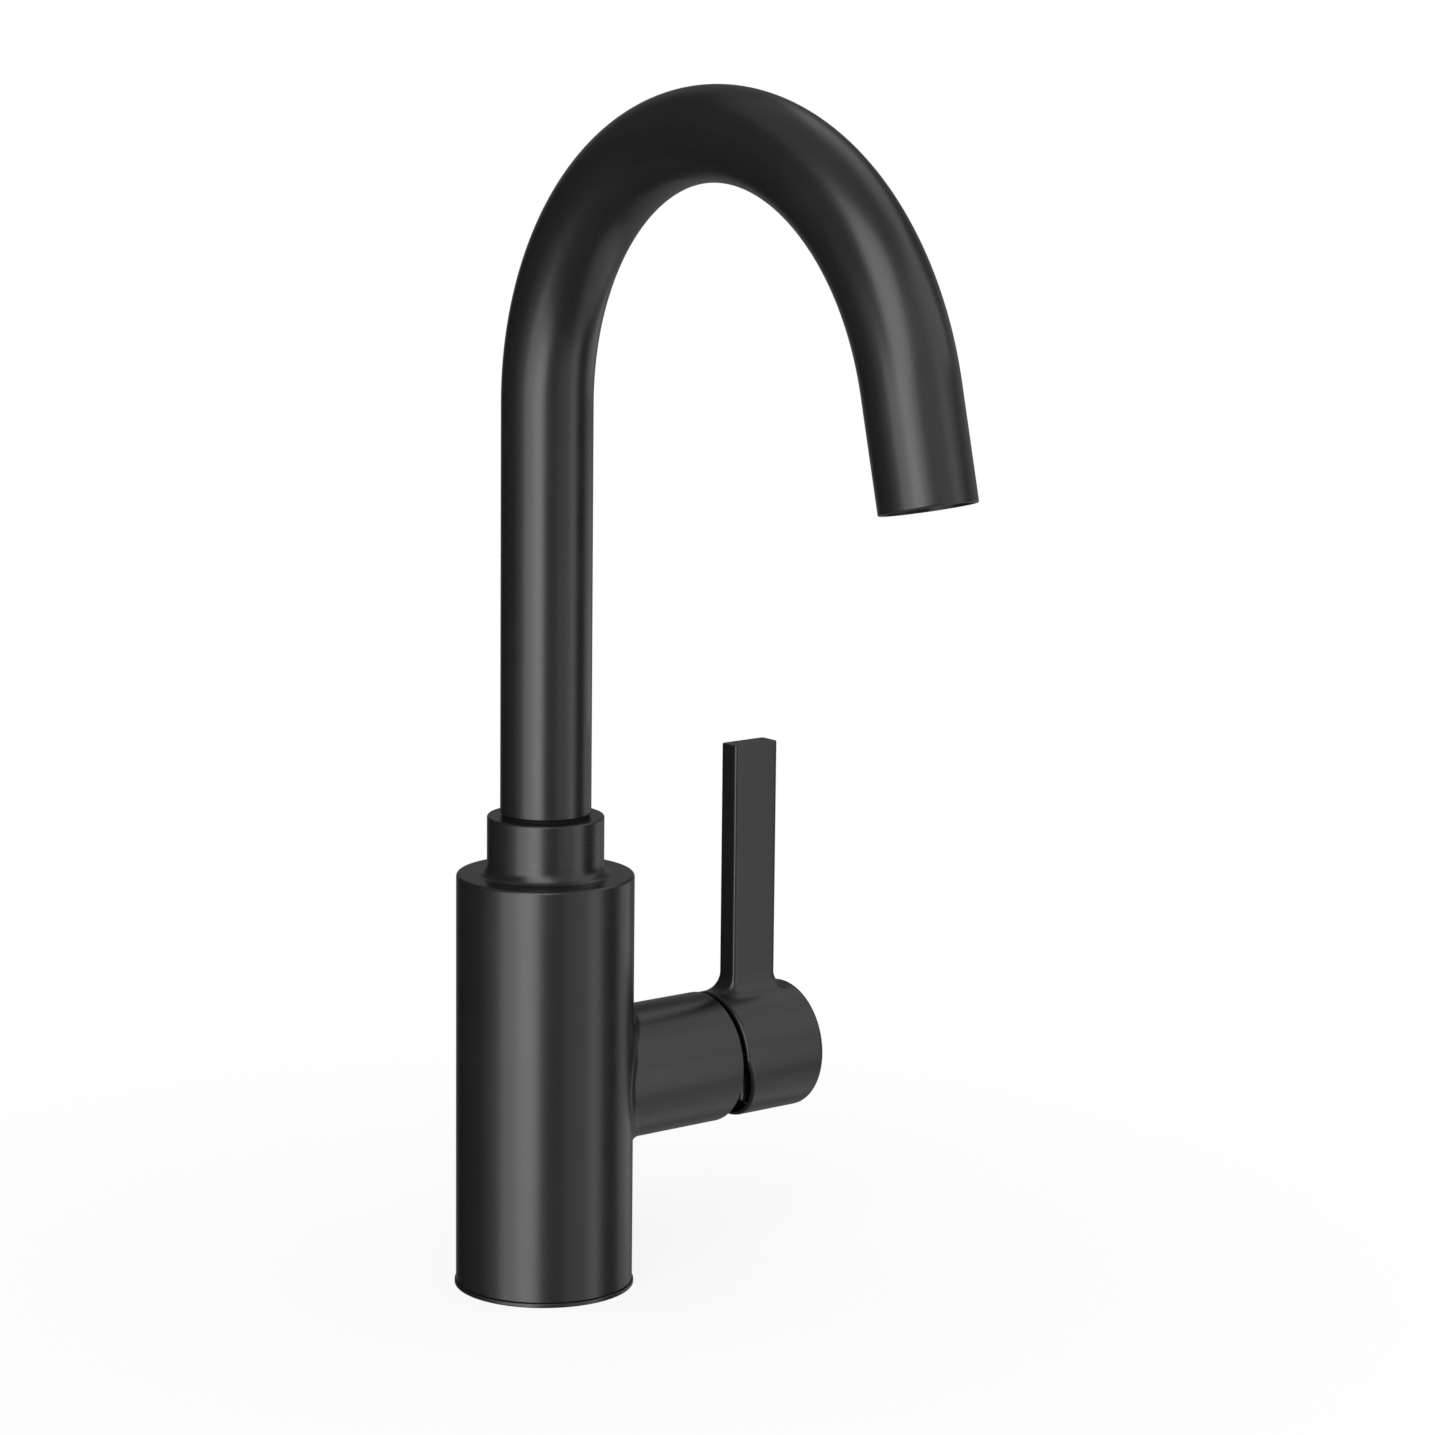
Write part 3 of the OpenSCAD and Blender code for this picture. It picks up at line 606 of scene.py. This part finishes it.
def plug(tree, socket, value):
    """Links a Value or an output to a socket, or sets the socket to a plain number, vector or material."""
    if isinstance(value, Value):
        value = value.socket
    if isinstance(value, bpy.types.NodeSocket):
        tree.links.new(value, socket)
    else:
        socket.default_value = value


def node(tree, kind, output=0, settings=None, **inputs):
    """Adds a node, with its inputs by name (spaces as underscores), and returns one output."""
    made = tree.nodes.new(kind)
    for name, value in (settings or {}).items():
        setattr(made, name, value)
    for name, value in inputs.items():
        plug(tree, made.inputs[name.replace("_", " ")], value)
    return Value(tree, made.outputs[output])


def geometry_tree(name, inputs):
    """A new geometry tree with named inputs of (socket type, value), and the Values that those give."""
    tree = bpy.data.node_groups.new(name, "GeometryNodeTree")
    tree.interface.new_socket("Geometry", in_out="OUTPUT", socket_type="NodeSocketGeometry")
    sockets = {}
    for label, (kind, _) in inputs.items():
        sockets[label] = tree.interface.new_socket(label, in_out="INPUT", socket_type=kind)
    entry = tree.nodes.new("NodeGroupInput")
    values = {label: Value(tree, entry.outputs[label]) for label in inputs}
    return tree, sockets, values


def grown(name, tree, sockets, inputs):
    """Runs a geometry tree once and returns its result as a plain mesh piece."""
    seed = bpy.data.objects.new(name + "_seed", bpy.data.meshes.new(name + "_seed"))
    bpy.context.scene.collection.objects.link(seed)
    modifier = seed.modifiers.new("shape", "NODES")
    modifier.node_group = tree
    for label, (_, value) in inputs.items():
        modifier[sockets[label].identifier] = value
    bpy.context.view_layer.update()
    graph = bpy.context.evaluated_depsgraph_get()
    mesh = bpy.data.meshes.new_from_object(seed.evaluated_get(graph))
    mesh.name = name
    seed.modifiers.remove(modifier)
    bpy.data.objects.remove(seed)
    return shown(name, mesh)


def finished(tree, geometry, finish):
    """Ends a tree: real geometry and the finish."""
    geometry = node(tree, "GeometryNodeRealizeInstances", Geometry=geometry)
    geometry = node(tree, "GeometryNodeSetMaterial", Geometry=geometry, Material=finish)
    end = tree.nodes.new("NodeGroupOutput")
    plug(tree, end.inputs[0], geometry)


def distance(tree, one, other):
    """The distance between two points in a tree."""
    made = tree.nodes.new("ShaderNodeVectorMath")
    made.operation = "DISTANCE"
    plug(tree, made.inputs[0], one)
    plug(tree, made.inputs[1], other)
    return Value(tree, made.outputs["Value"])


def gooseneck(finish):
    """The spout tube: a straight tube with a rounded end wall, bent along rise, arch and outlet."""
    number, whole, stuff = "NodeSocketFloat", "NodeSocketInt", "NodeSocketMaterial"
    inputs = {
        "Radius": (number, TUBE_R * MM), "Wall": (number, TUBE_WALL * MM), "Edge": (number, TUBE_EDGE * MM),
        "Foot Height": (number, TUBE_FOOT * MM), "Rise": (number, (BEND_Z - TUBE_FOOT) * MM),
        "Bend Radius": (number, BEND_R * MM), "Bend Angle": (number, BEND_ANGLE),
        "Outlet": (number, TIP_LENGTH * MM), "Steps Along": (whole, 240), "Steps Around": (whole, 96),
        "Finish": (stuff, finish),
    }
    tree, sockets, v = geometry_tree("gooseneck", inputs)
    total = v["Rise"] + v["Bend Radius"] * v["Bend Angle"] + v["Outlet"]

    # The wall's section, where X is the radius and Y the length along the tube
    middle = v["Radius"] - v["Wall"] * 0.5
    section = node(tree, "GeometryNodeCurvePrimitiveQuadrilateral", Width=v["Wall"], Height=total)
    centre = node(tree, "ShaderNodeCombineXYZ", X=middle, Y=total * 0.5)
    section = node(tree, "GeometryNodeTransform", Geometry=section, Translation=centre)
    here = node(tree, "GeometryNodeInputPosition")
    # The tube's outer corners are rounded by the whole edge, and its inner ones by a quarter
    outer = node(tree, "ShaderNodeSeparateXYZ", Vector=here).math("GREATER_THAN", middle)
    section = node(tree, "GeometryNodeFilletCurve", settings={"mode": "POLY"},
                   Curve=section, Radius=v["Edge"] * (outer * 0.75 + 0.25), Count=5)
    count = node(tree, "GeometryNodeAttributeDomainSize", settings={"component": "CURVE"}, Geometry=section)
    index = node(tree, "GeometryNodeInputIndex")
    following = node(tree, "GeometryNodeFieldAtIndex", settings={"data_type": "FLOAT_VECTOR"},
                     Index=(index + 1).math("MODULO", count), Value=here)
    step = distance(tree, here, following)
    # Only the two long sides are cut into steps
    section = node(tree, "GeometryNodeSubdivideCurve", Curve=section,
                   Cuts=step.math("GREATER_THAN", 0.1 * total) * v["Steps Along"])

    # A sheet with the section along one side, laid round the tube and bent along it
    count = node(tree, "GeometryNodeAttributeDomainSize", settings={"component": "CURVE"}, Geometry=section)
    width = v["Steps Around"] + 1
    sheet = node(tree, "GeometryNodeMeshGrid", Vertices_X=count + 1, Vertices_Y=width)
    row = (index / width).math("FLOOR").math("MODULO", count)
    turn = index.math("MODULO", width).math("MODULO", v["Steps Around"]) / v["Steps Around"] * (2 * math.pi)
    sample = node(tree, "GeometryNodeSampleIndex", settings={"data_type": "FLOAT_VECTOR", "domain": "POINT"},
                  Geometry=section, Value=here, Index=row)
    split = tree.nodes.new("ShaderNodeSeparateXYZ")
    plug(tree, split.inputs[0], sample)
    radius, along = Value(tree, split.outputs["X"]), Value(tree, split.outputs["Y"])
    bent = ((along - v["Rise"]) / v["Bend Radius"]).at_least(0).at_most(v["Bend Angle"])
    past = (along - v["Rise"] - v["Bend Radius"] * v["Bend Angle"]).at_least(0)
    across, inward = radius * turn.cos(), radius * turn.sin()
    y = inward * bent.cos() + v["Bend Radius"] * (bent.cos() - 1) - past * bent.sin()
    z = v["Foot Height"] + along.at_most(v["Rise"]) + v["Bend Radius"] * bent.sin() \
        + past * bent.cos() + inward * bent.sin()
    place = node(tree, "ShaderNodeCombineXYZ", X=across, Y=y, Z=z)
    tube = node(tree, "GeometryNodeSetPosition", Geometry=sheet, Position=place)
    tube = node(tree, "GeometryNodeMergeByDistance", Geometry=tube, Distance=WELD / 2 * MM)
    finished(tree, tube, v["Finish"])
    return grown("gooseneck_tube", tree, sockets, inputs)


def outlet_screen(finish):
    """The aerator's woven screen: two layers of round wires, cut to the housing's bore."""
    number, whole, stuff = "NodeSocketFloat", "NodeSocketInt", "NodeSocketMaterial"
    inputs = {
        "Radius": (number, SCREEN_R * MM), "Wire": (number, SCREEN_WIRE * MM),
        "Spacing": (number, SCREEN_SPACING * MM), "Wires": (whole, 17), "Finish": (stuff, finish),
    }
    tree, sockets, v = geometry_tree("outlet_screen", inputs)
    reach = v["Spacing"] * (v["Wires"] - 1) * 0.5
    line = node(tree, "GeometryNodeMeshLine", settings={"mode": "OFFSET"}, Count=v["Wires"],
                Start_Location=node(tree, "ShaderNodeCombineXYZ", X=reach * -1),
                Offset=node(tree, "ShaderNodeCombineXYZ", X=v["Spacing"]))
    here = node(tree, "GeometryNodeInputPosition")
    off = node(tree, "ShaderNodeSeparateXYZ", Vector=here)
    half = (v["Radius"] * v["Radius"] - off * off).at_least(0).math("SQRT")
    wire = node(tree, "GeometryNodeMeshCylinder", Vertices=8, Radius=v["Wire"] * 0.5, Depth=2.0)
    turned_wire = node(tree, "GeometryNodeTransform", Geometry=wire, Rotation=Vector((math.pi / 2, 0, 0)))
    layer = node(tree, "GeometryNodeInstanceOnPoints", Points=line, Instance=turned_wire,
                 Scale=node(tree, "ShaderNodeCombineXYZ", X=1.0, Y=half, Z=1.0))
    crossing = node(tree, "GeometryNodeTransform", Geometry=layer, Rotation=Vector((0, 0, math.pi / 2)),
                    Translation=node(tree, "ShaderNodeCombineXYZ", Z=v["Wire"] * 0.8))
    both = tree.nodes.new("GeometryNodeJoinGeometry")
    plug(tree, both.inputs[0], crossing)
    plug(tree, both.inputs[0], layer)
    placed = node(tree, "GeometryNodeTransform", Geometry=Value(tree, both.outputs[0]),
                  Translation=outlet_place(SCREEN_BACK) * MM, Rotation=Vector((BEND_ANGLE, 0, 0)))
    finished(tree, placed, v["Finish"])
    return grown("woven_screen", tree, sockets, inputs)


# ---- Finishes ------------------------------------------------------------


def new_material(name):
    """An empty node material with its shader and Object coordinates."""
    material = bpy.data.materials.new(name)
    material.use_nodes = True
    tree = material.node_tree
    shader = tree.nodes["Principled BSDF"]
    place = Value(tree, tree.nodes.new("ShaderNodeTexCoord").outputs["Object"])
    return material, tree, shader, place


def grain(tree, place, scale, stretch=(1, 1, 1), detail=3.0):
    """Fine noise, stretched into lines where stretch says so."""
    mapped = node(tree, "ShaderNodeMapping", Vector=place, Scale=Vector(stretch) * scale)
    return node(tree, "ShaderNodeTexNoise", Vector=mapped, Scale=1.0, Detail=detail, Roughness=0.55)


def spread(tree, value, low, high):
    """Maps noise, which lies about 0.5, onto a range."""
    return node(tree, "ShaderNodeMapRange", Value=value, From_Min=0.25, From_Max=0.75,
                To_Min=low, To_Max=high)


def surface(name, colour, roughness, metallic=0.0, scale=900.0, stretch=(1, 1, 1), relief=0.004,
            vary=0.15, **sockets):
    """A finish whose roughness, tone and relief (in millimetres) vary a little over the piece."""
    material, tree, shader, place = new_material(name)
    pattern = grain(tree, place, scale, stretch)
    broad = grain(tree, place, 60.0, detail=2.0)
    shader.inputs["Metallic"].default_value = metallic
    for label, value in sockets.items():
        shader.inputs[label.replace("_", " ")].default_value = value
    plug(tree, shader.inputs["Roughness"],
         spread(tree, pattern * 0.6 + broad * 0.4, roughness * (1 - vary), roughness * (1 + vary)))
    tone = node(tree, "ShaderNodeValToRGB", Fac=broad)
    ramp = tone.socket.node.color_ramp
    ramp.elements[0].position, ramp.elements[1].position = 0.3, 0.7
    ramp.elements[0].color = tuple(c * (1 - vary * 0.4) for c in colour) + (1,)
    ramp.elements[1].color = tuple(min(c * (1 + vary * 0.4), 1) for c in colour) + (1,)
    plug(tree, shader.inputs["Base Color"], tone)
    bump = node(tree, "ShaderNodeBump", Height=pattern, Strength=1.0, Distance=relief * MM)
    plug(tree, shader.inputs["Normal"], bump)
    return material


SATIN_BLACK = (0.010, 0.010, 0.0105)
black_paint = surface("satin_black", SATIN_BLACK, 0.30, scale=2200.0)
black_turned = surface("satin_black_turned", SATIN_BLACK, 0.30, scale=260.0, stretch=(0.3, 0.3, 8),
                       relief=0.012, vary=0.2)

FINISHES = {
    "satin_black": black_paint,
    "black_bearing": surface("black_bearing", (0.004, 0.004, 0.004), 0.6, Specular_IOR_Level=0.15),
    "black_dome": surface("black_dome", (0.006, 0.006, 0.006), 0.16, relief=0.001, vary=0.08),
    "brass": surface("brass", (0.72, 0.50, 0.22), 0.30, metallic=1.0, scale=500.0, stretch=(1, 1, 12)),
    "black_rubber": surface("black_rubber", (0.018, 0.018, 0.018), 0.75, relief=0.01),
    "ivory_plastic": surface("ivory_plastic", (0.72, 0.70, 0.62), 0.45),
    "grey_plastic": surface("grey_plastic", (0.40, 0.40, 0.39), 0.45),
    "blue_plastic": surface("blue_plastic", (0.05, 0.17, 0.42), 0.40),
    "red_plastic": surface("red_plastic", (0.45, 0.03, 0.02), 0.42),
    "white_ceramic": surface("white_ceramic", (0.83, 0.83, 0.84), 0.12, relief=0.001),
    "stainless_steel": surface("stainless_steel", (0.56, 0.55, 0.53), 0.28, metallic=1.0, scale=500.0,
                               stretch=(12, 1, 1)),
    "dark_screw": surface("dark_screw", (0.05, 0.05, 0.05), 0.35, metallic=0.8),
    "dark_aerator": surface("dark_aerator", (0.02, 0.02, 0.021), 0.5),
}

for part in frame["record"]["subparts"]:
    cad_node = frame["nodes"][part["node"]]
    cad_node.data.materials.clear()
    cad_node.data.materials.append(FINISHES[part["material_slot"]])
# Painted shade: the brass insert takes the dark aerator finish, so it shows dark where it sits in the
# outlet's recess
frame["nodes"]["outlet_insert"].data.materials[0] = FINISHES["dark_aerator"]


def fit(piece, material, body, node_name):
    """Gives a piece its finish and body, in place of its CAD node."""
    piece.data.materials.clear()
    piece.data.materials.append(material)
    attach(piece, body)
    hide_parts(node_name)


fit(body_shell(), black_paint, "column", "body_shell")
fit(handle(), black_paint, "lever", "handle")
fit(collar(), black_turned, "column", "collar")
fit(upper_bearing(), FINISHES["black_bearing"], "column", "upper_bearing")
fit(base_ring(), black_paint, "column", "base_ring")
fit(dome(), FINISHES["black_dome"], "column", "dome")
fit(gooseneck(black_paint), black_paint, "spout", "spout_tube")
aerator_finish = FINISHES["dark_aerator"]
fit(outlet_screen(aerator_finish), aerator_finish, "spout", "aerator_screen")

# ---- Camera --------------------------------------------------------------

LENS = 117.39
CAMERA_PLACE = Vector((-752.618, -1028.351, 403.169)) * MM
CAMERA_AZIMUTH, CAMERA_PITCH, CAMERA_ROLL = (math.radians(a) for a in (-38.334, 10.681, 0.614))


def camera():
    """The photograph's view."""
    data = bpy.data.cameras.new("camera")
    data.lens = LENS
    data.sensor_width = 36.0
    data.clip_start, data.clip_end = 0.05, 100.0
    seen_by = bpy.data.objects.new("camera", data)
    turn = Euler((math.pi / 2 - CAMERA_PITCH, 0, CAMERA_AZIMUTH)).to_matrix()
    seen_by.matrix_world = (turn @ Euler((0, 0, CAMERA_ROLL)).to_matrix()).to_4x4()
    seen_by.location = CAMERA_PLACE
    bpy.context.scene.collection.objects.link(seen_by)
    bpy.context.scene.camera = seen_by


# ---- Studio --------------------------------------------------------------
# Soft lamps light the faucet, and cards round it shape what its satin finish reflects.
# Each row gives a name, the bearings (degrees to the right of the camera, seen from the faucet),
# the rises (degrees above level) and the radiance, where 1 is a white card.

STUDIO_MIDDLE = Vector((0, -0.05, 0.15))
LAMP_DISTANCE = 2.4
CARD_DISTANCE = 2.8
FLOOR_RADIUS = 3.0
SHADOW_NEAR, SHADOW_FAR = 0.05, 0.3
FLOOR_WHITE_NEAR = 0.86
LAMPS = [
    ("main_softbox", (-32, -7), (-27, 14), 3.7),
    ("side_softbox", (-58, -32), (-27, 14), 1.75),
    ("upper_softbox", (-34, 6), (14, 64), 2.7),
]
CARDS = [
    ("dark_card_left", (-152, -80), (-32, 14), 0.0),
    ("soft_card_left", (-80, -58), (-32, 14), 0.35),
    ("dark_card_front", (-7, 28), (-32, 14), 0.16),
    ("pale_card_right", (28, 62), (-32, 14), 0.8),
    ("bright_card_right", (62, 80), (-32, 14), 1.9),
    ("dark_card_right", (80, 112), (-32, 14), 0.0),
    ("dark_card_right_low", (112, 150), (-32, -20), 0.3),
    ("pale_card_right_back", (112, 150), (-20, -6), 0.85),
    ("grey_card_right", (112, 150), (-6, 14), 0.33),
    ("dark_card_back", (150, 208), (-14, 14), 0.22),
    ("grey_card_low_back", (150, 208), (-32, -14), 0.2),
    ("grey_card_upper_front", (0, 60), (14, 50), 0.8),
    ("pale_card_upper_right", (60, 115), (14, 50), 1.25),
    ("pale_card_upper_back", (125, 172), (37, 50), 0.95),
    ("grey_card_upper_back", (115, 172), (14, 37), 0.12),
    ("dark_card_upper_back", (172, 205), (14, 50), 0.15),
    ("dark_card_upper_left", (205, 326), (14, 50), 0.05),
    ("pale_card_above_back", (100, 172), (50, 64), 1.0),
    ("grey_card_above_front", (172, 460), (50, 64), 0.37),
    ("grey_card_above", (0, 360), (64, 90), 0.37),
    ("grey_card_low", (60, 140), (-90, -32), 0.72),
    ("dark_card_low_back", (140, 195), (-90, -32), 0.25),
    ("dark_card_low", (195, 420), (-90, -32), 0.05),
]


def studio_point(bearing, rise, distance):
    """A point round the faucet's middle."""
    turn = CAMERA_AZIMUTH + math.radians(bearing)
    level = distance * math.cos(math.radians(rise))
    return STUDIO_MIDDLE + Vector((level * math.sin(turn), -level * math.cos(turn),
                                   distance * math.sin(math.radians(rise))))


def softbox(name, bearings, rises, radiance):
    """A soft area lamp that fills a stretch of bearings and rises."""
    bearing, rise = sum(bearings) / 2, sum(rises) / 2
    distance = LAMP_DISTANCE
    data = bpy.data.lights.new(name, "AREA")
    data.shape = "RECTANGLE"
    data.size = 2 * distance * math.tan(math.radians(bearings[1] - bearings[0]) / 2)
    data.size_y = 2 * distance * math.tan(math.radians(rises[1] - rises[0]) / 2)
    data.energy = radiance * math.pi * data.size * data.size_y
    lamp = bpy.data.objects.new(name, data)
    lamp.location = studio_point(bearing, rise, distance)
    lamp.rotation_euler = (lamp.location - STUDIO_MIDDLE).to_track_quat("Z", "Y").to_euler()
    lamp.visible_camera = False
    bpy.context.scene.collection.objects.link(lamp)


def card(name, bearings, rises, radiance):
    """A curved studio card that only reflections see."""
    across = np.linspace(*bearings, 2 + int((bearings[1] - bearings[0]) / 6))
    up = np.linspace(*rises, 8)
    points = [studio_point(bearing, rise, CARD_DISTANCE) for rise in up for bearing in across]
    faces = [(i, i + 1, i + 1 + len(across), i + len(across))
             for row in range(len(up) - 1) for i in range(row * len(across), (row + 1) * len(across) - 1)]
    mesh = bpy.data.meshes.new(name)
    mesh.from_pydata(points, [], faces)
    material = bpy.data.materials.new(name)
    material.use_nodes = True
    tree = material.node_tree
    glow = node(tree, "ShaderNodeEmission", Strength=radiance)
    tree.links.new(glow.socket, tree.nodes["Material Output"].inputs["Surface"])
    mesh.materials.append(material)
    made = bpy.data.objects.new(name, mesh)
    for kind in ("camera", "diffuse", "transmission", "volume_scatter", "shadow"):
        setattr(made, "visible_" + kind, False)
    bpy.context.scene.collection.objects.link(made)


def seen_directly(tree):
    """1 for camera, glossy and transmission rays, and 0 for the rays that carry light."""
    path = tree.nodes.new("ShaderNodeLightPath")
    rays = [Value(tree, path.outputs[label]) for label in
            ("Is Camera Ray", "Is Glossy Ray", "Is Transmission Ray")]
    return rays[0].at_least(rays[1]).at_least(rays[2])


def floor():
    """A pale floor whose shading shows near the foot, fades with distance and is plain white further out."""
    bpy.ops.mesh.primitive_circle_add(vertices=96, radius=FLOOR_RADIUS, fill_type="NGON")
    ground = bpy.context.object
    ground.name = "floor"
    ground.visible_glossy = False
    ground.visible_shadow = False
    material = bpy.data.materials.new("pale_floor")
    material.use_nodes = True
    tree = material.node_tree
    shader = tree.nodes["Principled BSDF"]
    shader.inputs["Base Color"].default_value = (0.9, 0.9, 0.9, 1)
    shader.inputs["Roughness"].default_value = 0.9
    shader.inputs["Specular IOR Level"].default_value = 0.0
    place = Value(tree, tree.nodes.new("ShaderNodeTexCoord").outputs["Object"])
    away = node(tree, "ShaderNodeVectorMath", output=1, settings={"operation": "LENGTH"})
    tree.links.new(place.socket, away.socket.node.inputs[0])
    fade = node(tree, "ShaderNodeMapRange", Value=away, From_Min=SHADOW_NEAR, From_Max=SHADOW_FAR,
                To_Min=FLOOR_WHITE_NEAR, To_Max=1.0)
    white = node(tree, "ShaderNodeEmission", Strength=1.0)
    mixed = node(tree, "ShaderNodeMixShader", Fac=seen_directly(tree) * fade)
    tree.links.new(shader.outputs[0], mixed.socket.node.inputs[1])
    tree.links.new(white.socket, mixed.socket.node.inputs[2])
    tree.links.new(mixed.socket, tree.nodes["Material Output"].inputs["Surface"])
    ground.data.materials.append(material)


def world():
    """White where it is seen, and a soft grey where it lights."""
    made = bpy.data.worlds.new("studio")
    made.use_nodes = True
    tree = made.node_tree
    sky = tree.nodes["Background"]
    sky.inputs["Color"].default_value = (1, 1, 1, 1)
    plug(tree, sky.inputs["Strength"], seen_directly(tree) * 0.5 + 0.5)
    bpy.context.scene.world = made


camera()
floor()
world()
for lamp in LAMPS:
    softbox(*lamp)
for screen in CARDS:
    card(*screen)
bpy.context.scene.view_settings.view_transform = "Standard"
